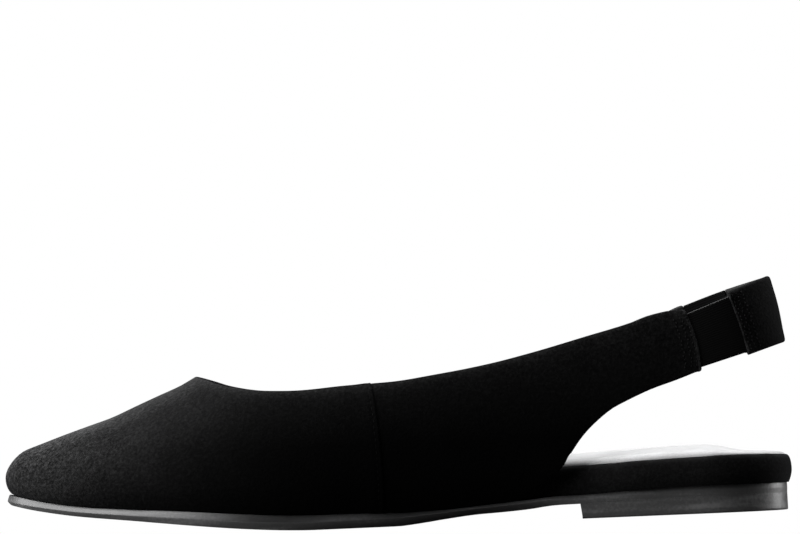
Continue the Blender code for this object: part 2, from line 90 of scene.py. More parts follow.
# Sling: wing ends, elastic pieces and the band behind the heel
WING_START = 27.2
WING_LEAN = 4.4
WING_TOP = 64.3
WING_WIDTH = 19.4
WING_DRAW = 1.2
INNER_RISE = 2.2
INNER_BOW = 0.5
BAND_TOP = 74.5
BAND_WIDTH = 21.1
BAND_SETBACK = 0.0
BAND_LEAN = 4.2
BAND_RUN = 12.0
BAND_ROUND = 2.3
ELASTIC_LENGTH = 14.2
ELASTIC_FLARE = 0.7
ELASTIC_WALL = 1.1
ELASTIC_SINK = 0.5
ELASTIC_TRIM = 1.1

# Points along and across the visible pieces
SIDE_RIBS = 150
RIB_ROWS = 42
ELASTIC_COLUMNS = 40
ELASTIC_ROWS = 18
BAND_TURNS = 130
BAND_ROWS = 20
PLAN_POINTS = 280
HEEL_POINTS = 150
BREAST_POINTS = 30
WRAP_RINGS = 16
SOCK_RINGS = 10
CLOSING_ROWS = 5
CORNER_STEPS = 4

# Rounded edges of the visible pieces, the bow of the wing's end and the gap in its joints
FOLD_ROUND = 0.9
CUT_ROUND = 0.35
WEB_ROUND = 0.3
WING_LOW_ROUND = 1.1
WING_TOP_ROUND = 0.9
WING_BOW = 0.5
JOINT_GAP = 0.02

# Stitches, and how far from the seam or from an end their rows lie
STITCH_LENGTH = 1.55
STITCH_PITCH = 2.05
THREAD = 0.32
SEAM_STITCHING = 1.45
WING_STITCHING = (1.2, 2.9, 4.9)
BAND_STITCHING = (0.9, 2.2, 3.8)
# length, pitch, width and drift of the short stitches across the sling's ends
END_STITCHES = (0.7, 1.2, 0.42, 1.6)

# How strong the painted highlight is over the crown and along the topline, and how wide that rim is
CROWN_HIGHLIGHT = 2.6
RIM_HIGHLIGHT = 0.80
RIM_HIGHLIGHT_WIDTH = 2.4

# Sides of the left foot
MEDIAL = -1
LATERAL = 1

# A piece's first finish is its face's; these are the places of the others
SECOND_FINISH = 1
WORN_EDGE = 2

# station, seat share, lateral share of the ball, medial share of the ball
PLAN = (
    (0.00, 1.00, 0.000, 0.000),
    (0.10, 1.00, 0.004, 0.000),
    (0.20, 0.90, 0.053, 0.046),
    (0.28, 0.70, 0.132, 0.113),
    (0.36, 0.50, 0.218, 0.173),
    (0.44, 0.30, 0.317, 0.246),
    (0.52, 0.10, 0.422, 0.345),
    (0.60, 0.00, 0.497, 0.429),
    (0.68, 0.00, 0.517, 0.481),
    (0.74, 0.00, 0.510, 0.497),
    (0.80, 0.00, 0.487, 0.491),
    (0.90, 0.00, 0.449, 0.462),
    (1.00, 0.00, 0.410, 0.436),
)

# station, share of the heel height, share of the toe spring
SOLE_LINE = (
    (0.000, 1.000, 0.00),
    (0.120, 0.985, 0.00),
    (0.200, 0.930, 0.00),
    (0.270, 0.840, 0.00),
    (0.293, 0.825, 0.00),
    (0.306, 0.790, 0.00),
    (0.330, 0.655, 0.00),
    (0.368, 0.535, 0.00),
    (0.393, 0.480, 0.00),
    (0.431, 0.310, 0.00),
    (0.469, 0.100, 0.00),
    (0.495, 0.000, 0.00),
    (0.600, 0.000, 0.00),
    (0.631, 0.000, 0.02),
    (0.680, 0.000, 0.09),
    (0.755, 0.000, 0.25),
    (0.831, 0.000, 0.44),
    (0.910, 0.000, 0.63),
    (0.956, 0.000, 0.79),
    (1.000, 0.000, 1.00),
)

# station, thickness share, height share of the ridge, inset share at the top, at the bottom
SOLE_SIDE = (
    (0.00, 0.97, 0.50, 0.10, 0.10),
    (0.12, 1.03, 0.50, 0.10, 0.10),
    (0.27, 0.85, 0.50, 0.10, 0.10),
    (0.33, 0.88, 0.75, 0.30, 1.80),
    (0.40, 0.76, 0.82, 0.40, 3.60),
    (0.43, 0.83, 0.80, 0.50, 3.20),
    (0.47, 1.09, 0.76, 0.60, 2.80),
    (0.52, 1.31, 0.66, 0.80, 2.00),
    (0.60, 1.37, 0.57, 1.00, 1.40),
    (0.68, 1.36, 0.54, 1.00, 1.20),
    (0.74, 1.30, 0.53, 1.00, 1.20),
    (0.79, 1.17, 0.52, 1.00, 1.20),
    (0.83, 1.00, 0.52, 1.00, 1.20),
    (0.92, 0.89, 0.52, 1.00, 1.20),
    (1.00, 0.96, 0.42, 1.00, 1.40),
)

# station, tuck share lateral, tuck share medial, bulge share lateral, bulge share medial
WAIST = (
    (0.00, 0.13, 0.29, 0.80, 0.90),
    (0.28, 0.13, 0.29, 0.80, 1.00),
    (0.36, 0.19, 0.67, 0.90, 1.20),
    (0.44, 0.24, 1.00, 1.00, 1.25),
    (0.52, 0.24, 0.84, 0.95, 1.10),
    (0.60, 0.24, 0.51, 0.90, 0.95),
    (0.68, 0.24, 0.29, 0.85, 0.85),
    (0.80, 0.24, 0.24, 0.75, 0.75),
    (0.90, 0.28, 0.28, 0.60, 0.60),
    (1.00, 0.24, 0.24, 0.51, 0.51),
)

# station, crown height as a share of the throat's, roundness of the section
CROWN = (
    (0.131, 2.625, 2.00),
    (0.198, 2.445, 2.00),
    (0.278, 2.164, 1.95),
    (0.357, 1.864, 1.90),
    (0.437, 1.603, 1.85),
    (0.516, 1.423, 1.80),
    (0.575, 1.323, 1.80),
    (0.635, 1.232, 1.90),
    (0.694, 1.122, 2.02),
    (0.750, 1.000, 2.08),
    (0.766, 0.955, 2.08),
    (0.798, 0.890, 2.10),
    (0.829, 0.826, 2.12),
    (0.860, 0.761, 2.15),
    (0.891, 0.712, 2.18),
    (0.923, 0.661, 2.20),
    (0.955, 0.606, 2.20),
    (1.000, 0.530, 2.20),
)

# run from the wing's end to the throat, rise toward the wing, rise toward the throat
TOPLINE = (
    (0.000, 1.000, 0.000),
    (0.033, 0.992, 0.000),
    (0.058, 0.959, 0.000),
    (0.083, 0.912, 0.000),
    (0.107, 0.840, 0.000),
    (0.206, 0.640, 0.000),
    (0.305, 0.447, 0.000),
    (0.403, 0.284, 0.000),
    (0.500, 0.166, 0.000),
    (0.598, 0.070, 0.000),
    (0.695, 0.040, 0.000),
    (0.793, 0.000, 0.000),
    (0.843, 0.000, 0.056),
    (0.892, 0.000, 0.208),
    (0.943, 0.000, 0.491),
    (0.969, 0.000, 0.725),
    (1.000, 0.000, 1.000),
)

# station, height of the cut edge between the feather line and the wing's lower corner
CUT_EDGE = (
    (0.115, 1.000),
    (0.141, 0.935),
    (0.172, 0.866),
    (0.202, 0.780),
    (0.225, 0.704),
    (0.248, 0.586),
    (0.264, 0.476),
    (0.280, 0.327),
    (0.288, 0.238),
    (0.307, 0.136),
    (0.342, 0.000),
)

# where a rib leaves the lower edge, where it reaches the topline
RIB_LEAN = (
    (0.000, 0.000),
    (0.031, 0.043),
    (0.081, 0.120),
    (0.123, 0.197),
    (0.155, 0.267),
    (0.177, 0.322),
    (0.197, 0.370),
    (0.227, 0.418),
    (0.260, 0.460),
    (0.341, 0.536),
    (0.399, 0.594),
    (0.449, 0.634),
    (0.543, 0.726),
    (0.655, 0.819),
    (0.767, 0.892),
    (0.866, 0.947),
    (0.942, 0.982),
    (1.000, 1.000),
)

# station, rise share from the fore board to the seat board
BOARD = (
    (0.00, 0.95),
    (0.02, 1.00),
    (0.06, 1.03),
    (0.11, 0.99),
    (0.20, 1.00),
    (0.26, 1.02),
    (0.30, 0.98),
    (0.40, 0.45),
    (0.52, 0.00),
    (1.00, 0.00),
)

# station, thickness share of the pad's edge, share of its crown
PAD = (
    (0.00, 0.30, 0.00),
    (0.05, 0.40, 0.10),
    (0.11, 0.95, 0.95),
    (0.30, 1.00, 1.00),
    (0.50, 0.90, 0.60),
    (0.70, 0.80, 0.30),
    (1.00, 0.75, 0.20),
)


def line(table, column):
    """A smooth curve through one column of a table, which never overshoots its rows."""
    xs = [row[0] for row in table]
    ys = [row[column] for row in table]
    runs = [b - a for a, b in zip(xs, xs[1:])]
    rises = [(b - a) / run for a, b, run in zip(ys, ys[1:], runs)]
    slopes = [rises[0]]
    for before, after in zip(rises, rises[1:]):
        slopes.append(2 * before * after / (before + after) if before * after > 0 else 0.0)
    slopes.append(rises[-1])

    def at(x):
        x = min(max(x, xs[0]), xs[-1])
        i = 0
        while i < len(runs) - 1 and x > xs[i + 1]:
            i += 1
        u = (x - xs[i]) / runs[i]
        start = (1 + 2 * u) * (1 - u) ** 2 * ys[i] + u * (1 - u) ** 2 * runs[i] * slopes[i]
        end = u * u * (3 - 2 * u) * ys[i + 1] + u * u * (u - 1) * runs[i] * slopes[i + 1]
        return start + end

    return at


def ease(x, start, end):
    """0 before start and 1 after end, with no corner between."""
    u = min(max((x - start) / (end - start), 0.0), 1.0)
    return u * u * (3 - 2 * u)


def mix(a, b, share):
    return a + (b - a) * share


plan_seat = line(PLAN, 1)
plan_ball = {LATERAL: line(PLAN, 2), MEDIAL: line(PLAN, 3)}
heel_share = line(SOLE_LINE, 1)
spring_share = line(SOLE_LINE, 2)
edge_share = line(SOLE_SIDE, 1)
ridge_share = line(SOLE_SIDE, 2)
edge_top = line(SOLE_SIDE, 3)
edge_bottom = line(SOLE_SIDE, 4)
tuck_share = {LATERAL: line(WAIST, 1), MEDIAL: line(WAIST, 2)}
bulge_share = {LATERAL: line(WAIST, 3), MEDIAL: line(WAIST, 4)}
crown_share = line(CROWN, 1)
section_power = line(CROWN, 2)
wing_rise = line(TOPLINE, 1)
throat_rise = line(TOPLINE, 2)
cut_share = line(CUT_EDGE, 1)
rib_top = line(RIB_LEAN, 1)
board_share = line(BOARD, 1)
pad_share = line(PAD, 1)
pad_crown = line(PAD, 2)


# The last: its plan, its heights and its skin

def axis(t):
    """The middle of the toe swings toward the other foot."""
    return -FOOT_SWING * ease(t, 0.5, 1.0)


def half_width(t, side):
    station = t * SHOE_LENGTH
    flat = SEAT_WIDTH / 2 * plan_seat(t) + BALL_WIDTH * plan_ball[side](t)
    heel = min(max((HEEL_ROUND - station) / HEEL_ROUND, 0.0), 1.0)
    toe = min(max((station - SHOE_LENGTH + TOE_ROUND) / TOE_ROUND, 0.0), 1.0)
    return flat * (1 - heel ** 2.2) ** (1 / 2.2) * (1 - toe ** 2.15) ** (1 / 2.15)


def station_share(turn):
    return (1 - math.cos(math.pi * turn)) / 2


def plan_point(turn):
    """A point of the widest line: turn 0 at the heel, 1 at the toe and 2 at the heel again."""
    turn = turn % 2.0
    side = LATERAL if turn <= 1.0 else MEDIAL
    t = station_share(turn)
    return np.array((t * SHOE_LENGTH, axis(t) + side * half_width(t, side), 0.0))


def plan_normal(turn):
    along = plan_point(turn + 0.004) - plan_point(turn - 0.004)
    out = np.array((-along[1], along[0], 0.0))
    return out / np.linalg.norm(out)


def turn_at(station, side):
    turn = math.acos(min(max(1 - 2 * station / SHOE_LENGTH, -1.0), 1.0)) / math.pi
    return turn if side == LATERAL else 2.0 - turn


def sole_bottom(t):
    return HEEL_HEIGHT * heel_share(t) + TOE_SPRING * spring_share(t)


def sole_top(t):
    return sole_bottom(t) + SOLE_EDGE * edge_share(t)


def feather(t):
    return sole_top(t) + GAP


def board_top(t):
    return feather(t) + mix(FORE_BOARD, SEAT_BOARD, board_share(t))


def bulge(t, side):
    return feather(t) + BULGE_RISE * bulge_share[side](t)


def crown(t):
    return THROAT_HEIGHT * crown_share(t)


def tuck_radius(t, side):
    return WALL + TUCK * tuck_share[side](t)


def feather_inset(t, side):
    return tuck_radius(t, side) * (1 - math.cos(TUCK_ANGLE))


def wall_inset(t, side):
    depth = BULGE_RISE * bulge_share[side](t) / math.tan(TUCK_ANGLE)
    return WALL * depth / math.hypot(depth, tuck_radius(t, side) * math.sin(TUCK_ANGLE))


def board_inset(t, side):
    inside = feather_inset(t, side) + wall_inset(t, side) + GAP
    return inside * ease(t, 0.18, 0.29)


def sole_inset(t, side):
    margin = SOLE_MARGIN * (0.5 + 0.5 * ease(t, 0.40, 0.58) + 1.1 * ease(t, 0.93, 1.0))
    return mix(SEAT_OVERHANG, feather_inset(t, side) - margin, ease(t, 0.22, 0.34))


def skin_width(t, side):
    return half_width(t, side) - WING_DRAW * (1 - ease(t, 0.12, 0.27))


def skin_rise(t, side):
    nose = max(t * SHOE_LENGTH - SHOE_LENGTH + NOSE_LENGTH, 0.0) / NOSE_LENGTH
    return (crown(t) - bulge(t, side)) * math.sqrt(max(1 - nose * nose, 0.0))


def skin_height(station, y, side):
    t = station / SHOE_LENGTH
    power = section_power(t)
    out = min(abs(y - axis(t)) / max(skin_width(t, side), 1e-6), 1.0)
    return bulge(t, side) + skin_rise(t, side) * (1 - out ** power) ** (1 / power)


def skin_out(t, side, height):
    power = section_power(t)
    up = min(max((height - bulge(t, side)) / max(skin_rise(t, side), 1e-6), 0.0), 1.0)
    return (1 - up ** power) ** (1 / power)


def throat_station():
    return SHOE_LENGTH - VAMP_LENGTH


def topline(station, side):
    start = WING_START + WING_LEAN
    run = (station - start) / (throat_station() - start)
    peak = crown(throat_station() / SHOE_LENGTH)
    height = TOPLINE_LOW + (WING_TOP - TOPLINE_LOW) * wing_rise(run)
    height += (peak - TOPLINE_LOW) * throat_rise(run)
    return height + (INNER_RISE * (1 - ease(run, 0.0, 0.05)) if side == MEDIAL else 0.0)


def lower_edge(t, side):
    corner = WING_TOP - WING_WIDTH
    height = mix(feather(t), corner, cut_share(t) if t < CUT_EDGE[-1][0] else 0.0)
    rise = INNER_RISE * (1 - ease(t, CUT_EDGE[0][0], 0.24))
    return height + (rise if side == MEDIAL else 0.0)


def rib_path(station, side):
    """One rib of the upper, from its lower edge over the side to the topline."""
    t = station / SHOE_LENGTH
    turn = turn_at(station, side)
    normal = plan_normal(turn)
    widest = plan_point(turn)
    widest[1] -= side * (half_width(t, side) - skin_width(t, side))
    low = lower_edge(t, side)
    middle = bulge(t, side)
    path = []
    if low < middle:
        depth = (middle - feather(t)) / math.sin(TUCK_ANGLE)
        first = min(math.asin(min((middle - low) / depth, 1.0)), TUCK_ANGLE)
        for k in range(12):
            angle = first * (1 - k / 12)
            point = widest - normal * tuck_radius(t, side) * (1 - math.cos(angle))
            point[2] = middle - depth * math.sin(angle)
            path.append(point)
        start = widest
        start_out = 1.0
    else:
        start_out = skin_out(t, side, low)
        start = np.array((station, axis(t) + side * skin_width(t, side) * start_out, 0.0))
    run = (station - WING_START) / (SHOE_LENGTH - WING_START)
    wing = WING_START + WING_LEAN
    top_station = mix(wing, throat_station(), rib_top(run))
    top_t = top_station / SHOE_LENGTH
    top_out = skin_out(top_t, side, topline(top_station, side))
    top = np.array((top_station, axis(top_t) + side * skin_width(top_t, side) * top_out, 0.0))
    first = math.acos(start_out)
    last = math.acos(top_out)
    for k in range(41):
        out = math.cos(mix(first, last, k / 40))
        point = mix(start, top, (start_out - out) / (start_out - math.cos(last)))
        if k == 0:
            point[2] = max(low, middle)
        else:
            point[2] = skin_height(point[0], point[1], side)
        path.append(point)
    return path


def trimmed(path, count, bias, cut_low, cut_top):
    """The path without its two ends, in count points whose steps grow evenly."""
    path = np.array(path)
    steps = np.linalg.norm(np.diff(path, axis=0), axis=1)
    run = np.concatenate(([0.0], np.cumsum(steps)))
    where = mix(cut_low, run[-1] - cut_top, np.linspace(0.0, 1.0, count) ** bias)
    return np.stack([np.interp(where, run, path[:, k]) for k in range(3)], axis=1)


def unit(vectors):
    return vectors / np.linalg.norm(vectors, axis=-1, keepdims=True)


def surface_normals(grid, outward):
    along = np.gradient(grid, axis=0)
    up = np.gradient(grid, axis=1)
    return unit(np.cross(up, along) * outward)


# Meshes

def place_on_floor(point):
    return Vector(((point[0] - HEEL_CENTRE) / 1000, point[1] / 1000, point[2] / 1000))


def bent_grid(points):
    """A bmesh grid bent over points[column][row], whose edges meet where the points do, to be welded
    later.
    """
    columns, rows = points.shape[:2]
    bm = bmesh.new()
    bm.loops.layers.uv.new("UVMap")
    bmesh.ops.create_grid(bm, x_segments=columns - 1, y_segments=rows - 1, size=1.0, calc_uvs=True)
    for vert in bm.verts:
        i = round((vert.co.x + 1) / 2 * (columns - 1))
        j = round((vert.co.y + 1) / 2 * (rows - 1))
        vert.co = place_on_floor(points[i][j])
    bm.verts.ensure_lookup_table()
    return bm


def finish_piece(name, bm, materials, stands_for=(), weld=4e-6, sharp=40):
    if weld:
        bmesh.ops.remove_doubles(bm, verts=bm.verts, dist=weld)
    bmesh.ops.dissolve_degenerate(bm, edges=bm.edges, dist=1e-6)
    bmesh.ops.recalc_face_normals(bm, faces=bm.faces)
    mesh = bpy.data.meshes.new(name)
    bm.to_mesh(mesh)
    bm.free()
    for material in materials:
        mesh.materials.append(material)
    mesh.shade_smooth()
    mesh.set_sharp_from_angle(angle=math.radians(sharp))
    piece = bpy.data.objects.new(name, mesh)
    bpy.context.collection.objects.link(piece)
    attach(piece, "root")
    for node in stands_for:
        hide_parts(node)
    return piece


def corner(half, radius):
    """Offsets (through the wall, past the edge) round one corner of a wall's edge."""
    turns = [math.pi / 2 * k / CORNER_STEPS for k in range(CORNER_STEPS + 1)]
    return [(half - radius + radius * math.cos(a), radius * math.sin(a) - radius) for a in turns]


def shell_points(skin, normals, wall, fullness, top_round, low_round):
    """The closed section of a wall at each column: outer face, top edge, lining, lower edge.

    fullness is each column's share of the wall's thickness, so that an end can be rounded."""
    half = wall / 2
    middle = skin - normals * half
    up = unit(skin[:, -1] - skin[:, -2])
    down = unit(skin[:, 0] - skin[:, 1])
    share = np.asarray(fullness)[:, None]
    rows = [middle[:, j] + normals[:, j] * half * share for j in range(skin.shape[1])]
    top = corner(half, top_round)[1:]
    low = corner(half, low_round)[1:]
    for through, past in top + [(-a, b) for a, b in reversed(top)]:
        rows.append(middle[:, -1] + normals[:, -1] * through * share + up * (past + top_round))
    for j in range(skin.shape[1] - 1, -1, -1):
        rows.append(middle[:, j] - normals[:, j] * half * share)
    for through, past in [(-a, b) for a, b in low] + list(reversed(low)):
        rows.append(middle[:, 0] + normals[:, 0] * through * share + down * (past + low_round))
    rows.append(rows[0])
    return np.stack(rows, axis=1)


def end_doubled(columns):
    """The columns with the first and the last one twice: a wall closes to a line there."""
    return np.concatenate((columns[:1], columns, columns[-1:]))


def closed_wall(skin, normals, wall, fullness, top_round, low_round):
    """A wall's section at each column of its outer face, closed at both ends."""
    closing = np.concatenate(([0.0], fullness, [0.0]))
    return shell_points(end_doubled(skin), end_doubled(normals), wall, closing, top_round, low_round)


def finish_rows(bm, first, last, columns):
    """Gives the second finish to the faces of some rows."""
    for index, face in enumerate(bm.faces):
        if first <= index // (columns - 1) < last:
            face.material_index = SECOND_FINISH


def line_faces(bm, skin_rows, columns):
    """Gives the lining to the inner half of a wall's section."""
    first = skin_rows + CORNER_STEPS + 1
    finish_rows(bm, first, first + skin_rows - 1, columns)


def paint_rim_highlight(bm, skin, skin_normals):
    """Paints a highlight into the colour over the upward-facing crown of the vamp and along a rim just
    under the topline.
    """
    columns, rows = skin.shape[:2]
    layer = bm.verts.layers.float.new("painted_rim_highlight")
    for index, vert in enumerate(bm.verts):
        row, column = divmod(index, columns)
        if row >= rows:
            continue
        station = skin[column, row, 0]
        below = np.linalg.norm(np.diff(skin[column, row:], axis=0), axis=1).sum()
        sideways = abs(skin_normals[column, row, 1])
        upward = skin_normals[column, row, 2]
        on_crown = max(1 - sideways / 0.50, 0.0) * min(max(upward / 0.4, 0.0), 1.0)
        forward = ease(station / SHOE_LENGTH, 0.60, 0.80)
        rim = math.exp(-(below / RIM_HIGHLIGHT_WIDTH) ** 1.3)
        vert[layer] = CROWN_HIGHLIGHT * on_crown * forward + RIM_HIGHLIGHT * rim


def wear_ends(bm, columns, depth):
    """Gives the worn edge to some columns of faces at both ends of a strip."""
    for index, face in enumerate(bm.faces):
        column = index % (columns - 1)
        if min(column, columns - 2 - column) < depth:
            face.material_index = WORN_EDGE


# Materials

def new_material(name):
    material = bpy.data.materials.new(name)
    material.use_nodes = True
    tree = material.node_tree
    return material, tree, tree.nodes["Principled BSDF"]


def feed(tree, node, values):
    """Links what varies over a piece to a node's sockets, and sets what doesn't on them."""
    for socket, value in values.items():
        if isinstance(value, bpy.types.NodeSocket):
            tree.links.new(value, node.inputs[socket])
        else:
            node.inputs[socket].default_value = value


def object_coordinates(tree, scale=(1000.0, 1000.0, 1000.0), tilt=0.0):
    """Object coordinates in millimetres, or stretched and tilted in side view."""
    place = tree.nodes.new("ShaderNodeTexCoord")
    mapping = tree.nodes.new("ShaderNodeMapping")
    feed(tree, mapping, {"Vector": place.outputs["Object"], "Scale": scale,
                         "Rotation": (0.0, tilt, 0.0)})
    return mapping.outputs["Vector"]


def own_uv(tree):
    uv = tree.nodes.new("ShaderNodeUVMap")
    uv.uv_map = "UVMap"
    return uv.outputs["UV"]


def split(tree, vector):
    parts = tree.nodes.new("ShaderNodeSeparateXYZ")
    feed(tree, parts, {"Vector": vector})
    return parts.outputs


def noise(tree, vector, scale, detail=4.0, roughness=0.55, distortion=0.0):
    made = tree.nodes.new("ShaderNodeTexNoise")
    feed(tree, made, {"Vector": vector, "Scale": scale, "Detail": detail, "Roughness": roughness,
                      "Distortion": distortion})
    return made.outputs["Fac"]


def ramp(tree, factor, stops):
    made = tree.nodes.new("ShaderNodeValToRGB")
    elements = made.color_ramp.elements
    while len(elements) < len(stops):
        elements.new(0.5)
    for element, (position, tone) in zip(elements, stops):
        element.position = position
        element.color = (tone, tone, tone * 1.01, 1.0)
    feed(tree, made, {"Fac": factor})
    return made.outputs["Color"]


def to_range(tree, factor, low, high, out_low, out_high):
    made = tree.nodes.new("ShaderNodeMapRange")
    feed(tree, made, {"Value": factor, "From Min": low, "From Max": high, "To Min": out_low,
                      "To Max": out_high})
    return made.outputs["Result"]


def reckon(tree, kind, one, two):
    """One sum over values that vary over a piece, or over one of them and a constant."""
    made = tree.nodes.new("ShaderNodeMath")
    made.operation = kind
    feed(tree, made, {0: one, 1: two})
    return made.outputs["Value"]


def add(tree, one, two):
    return reckon(tree, "ADD", one, two)


def times(tree, one, two):
    return reckon(tree, "MULTIPLY", one, two)


def blend(tree, one, share, two):
    """A share of one value with the rest of another."""
    return add(tree, times(tree, one, share), times(tree, two, 1 - share))


def toned(tree, colour, factor):
    """A colour made paler or darker by a value that varies over the piece."""
    scaled = tree.nodes.new("ShaderNodeVectorMath")
    scaled.operation = "SCALE"
    feed(tree, scaled, {"Vector": colour, "Scale": factor})
    return scaled.outputs["Vector"]


def bump(tree, shader, height, distance):
    made = tree.nodes.new("ShaderNodeBump")
    feed(tree, made, {"Height": height, "Strength": 1.0, "Distance": distance})
    feed(tree, shader, {"Normal": made.outputs["Normal"]})


def painted_light_toward_toe_and_top(tree, place, full):
    """Painted light: the suede is made paler toward the toe and the topline, where the lamps light it
    most, and darkest low on the quarters, where they light it least.
    """
    where = split(tree, place)
    toward_toe = to_range(tree, where["X"], 70.0, 205.0, 0.0, 1.0)
    toward_toe = reckon(tree, "POWER", toward_toe, 4.0)
    above_edge = to_range(tree, where["Z"], 6.0, 26.0, 0.7, 1.8)
    toward_top = to_range(tree, where["Z"], 26.0, 60.0, 0.0, 0.58)
    painted_light = add(tree, times(tree, toward_toe, above_edge), toward_top)
    return add(tree, painted_light, full)


def painted_rim_highlight(tree):
    """The painted highlight over the crown and along the topline, as stored at the points."""
    raised = tree.nodes.new("ShaderNodeAttribute")
    raised.attribute_name = "painted_rim_highlight"
    return raised.outputs["Fac"]


def suede_material(name, dark, light, sheen, nap, paint_light_on_toe=False):
    """Short-napped suede: mottled where the nap is brushed, matt, with a soft sheen at the rim; where
    asked, with painted light and a painted highlight in its colour.
    """
    material, tree, shader = new_material(name)
    place = object_coordinates(tree)
    brushed = noise(tree, place, 0.045, detail=3.0)
    mottle = noise(tree, place, 1.0, detail=2.0, roughness=0.65)
    fibre = noise(tree, place, 2.6, detail=3.0, roughness=0.7)
    speck = blend(tree, mottle, 0.6, fibre)
    tone = blend(tree, speck, 0.8, brushed)
    # Painted light: toward the toe and the topline the mottle grows stronger, standing in for how the
    # lamps fall there.
    if paint_light_on_toe:
        depth = add(tree, times(tree, painted_light_toward_toe_and_top(tree, place, 0.0), 0.38), 0.5)
        tone = add(tree, times(tree, add(tree, tone, -0.5), depth), 0.5)
    colour = ramp(tree, tone, ((0.40, dark), (0.50, mix(dark, light, 0.35)), (0.61, light)))
    # Painted light: the colour is scaled up toward the toe and the topline, and the painted highlight
    # over the crown and along the topline is added to it.
    if paint_light_on_toe:
        painted_light = add(tree, painted_light_toward_toe_and_top(tree, place, 0.07), painted_rim_highlight(tree))
        colour = toned(tree, colour, painted_light)
    feed(tree, shader, {"Base Color": colour,
                        "Roughness": to_range(tree, speck, 0.3, 0.7, 0.86, 1.0),
                        "Specular IOR Level": 0.02,
                        "Sheen Weight": sheen,
                        "Sheen Roughness": 0.42,
                        "Sheen Tint": (0.92, 0.94, 1.0, 1.0)})
    bump(tree, shader, speck, nap)
    return material


def lining_material():
    material, tree, shader = new_material("black_lining_leather")
    place = object_coordinates(tree)
    pores = noise(tree, place, 2.2, detail=3.0)
    feed(tree, shader, {"Base Color": ramp(tree, pores, ((0.35, 0.006), (0.65, 0.012))),
                        "Roughness": to_range(tree, pores, 0.3, 0.7, 0.50, 0.66),
                        "Specular IOR Level": 0.15})
    bump(tree, shader, pores, 0.00005)
    return material


def sole_material(name, bevel_dirt_and_shade=False):
    """Black sole and heel with a lacquered edge, a little scuffed; where asked, the bevel darker in
    places, partly dirt and partly painted shade under the upper.
    """
    material, tree, shader = new_material(name)
    place = object_coordinates(tree)
    drawn = object_coordinates(tree, (60.0, 200.0, 900.0), 0.12)
    streak = noise(tree, drawn, 0.35, detail=2.0, distortion=0.4)
    grain = noise(tree, place, 1.1, detail=4.0)
    worn = blend(tree, streak, 0.7, grain)
    colour = ramp(tree, worn, ((0.30, 0.050), (0.50, 0.072), (0.70, 0.160)))
    if bevel_dirt_and_shade:
        # the bevel is darkened at some places between waist and toe: partly dirt, partly painted shade
        # under the upper
        where = split(tree, place)
        length = to_range(tree, where["X"], 30.0, 210.0, 0.0, 1.0)
        dirt_and_shade_along_bevel = ramp(tree, length, (
            (0.0, 1.0), (0.06, 0.9), (0.20, 0.35), (0.34, 0.30), (0.45, 0.85), (0.53, 0.35),
            (0.60, 0.28), (0.67, 0.7), (0.76, 0.95), (0.88, 0.72), (0.96, 0.50), (1.0, 0.65)))
        tinted = tree.nodes.new("ShaderNodeVectorMath")
        tinted.operation = "MULTIPLY"
        feed(tree, tinted, {0: colour, 1: dirt_and_shade_along_bevel})
        # painted shade along the joint with the upper, from the waist to the ball, where the upper
        # shades the bevel
        across = split(tree, own_uv(tree))
        joint = to_range(tree, across["Y"], 0.60, 0.76, 0.0, 0.85)
        waist = to_range(tree, where["X"], 126.0, 150.0, 1.0, 0.0)
        painted_shade_under_upper = reckon(tree, "SUBTRACT", 1.0, times(tree, joint, waist))
        colour = toned(tree, tinted.outputs["Vector"], painted_shade_under_upper)
    feed(tree, shader, {"Base Color": colour,
                        "Roughness": to_range(tree, worn, 0.3, 0.7, 0.34, 0.50),
                        "Coat Weight": 0.15,
                        "Coat Roughness": 0.30})
    bump(tree, shader, grain, 0.00006)
    return material


def sock_material():
    """Light grey smooth leather with faint fine pores."""
    material, tree, shader = new_material("light_grey_sock_leather")
    place = object_coordinates(tree)
    tone = noise(tree, place, 0.12, detail=2.0)
    grain = noise(tree, place, 1.6, detail=5.0, roughness=0.6)
    pores = tree.nodes.new("ShaderNodeTexVoronoi")
    feed(tree, pores, {"Vector": place, "Scale": 0.85})
    pricked = to_range(tree, pores.outputs["Distance"], 0.06, 0.20, 0.0, 1.0)
    shade = blend(tree, tone, 0.5, grain)
    mixed = add(tree, shade, to_range(tree, pricked, 0.0, 1.0, -0.12, 0.0))
    colour = ramp(tree, mixed, ((0.30, 0.46), (0.50, 0.55), (0.66, 0.61)))
    feed(tree, shader, {"Base Color": colour,
                        "Roughness": to_range(tree, grain, 0.3, 0.7, 0.50, 0.64)})
    bump(tree, shader, blend(tree, grain, 0.5, pricked), 0.00008)
    return material


def elastic_material(name, dark, light):
    """Black elastic web, finely ribbed along its length."""
    material, tree, shader = new_material(name)
    ribs = tree.nodes.new("ShaderNodeTexWave")
    ribs.wave_type = "BANDS"
    ribs.bands_direction = "Y"
    ribs.wave_profile = "SIN"
    feed(tree, ribs, {"Vector": own_uv(tree), "Scale": 24.0, "Distortion": 0.0})
    place = object_coordinates(tree)
    yarn = noise(tree, place, 2.6, detail=3.0)
    height = blend(tree, ribs.outputs["Fac"], 0.7, yarn)
    feed(tree, shader, {"Base Color": ramp(tree, height, ((0.20, dark), (0.80, light))),
                        "Roughness": 0.85,
                        "Specular IOR Level": 0.03,
                        "Sheen Weight": 0.02,
                        "Sheen Roughness": 0.5})
    bump(tree, shader, height, 0.00005)
    return material


def thread_material():
    material, tree, shader = new_material("black_thread")
    place = object_coordinates(tree)
    twist = noise(tree, place, 5.0, detail=2.0)
    colour = ramp(tree, twist, ((0.35, 0.010), (0.65, 0.036)))
    # Painted light: the thread too is made paler toward the toe and the topline, as the suede is.
    colour = toned(tree, colour, painted_light_toward_toe_and_top(tree, place, 0.10))
    feed(tree, shader, {"Base Color": colour, "Roughness": 0.9, "Specular IOR Level": 0.05})
    bump(tree, shader, twist, 0.00004)
    return material


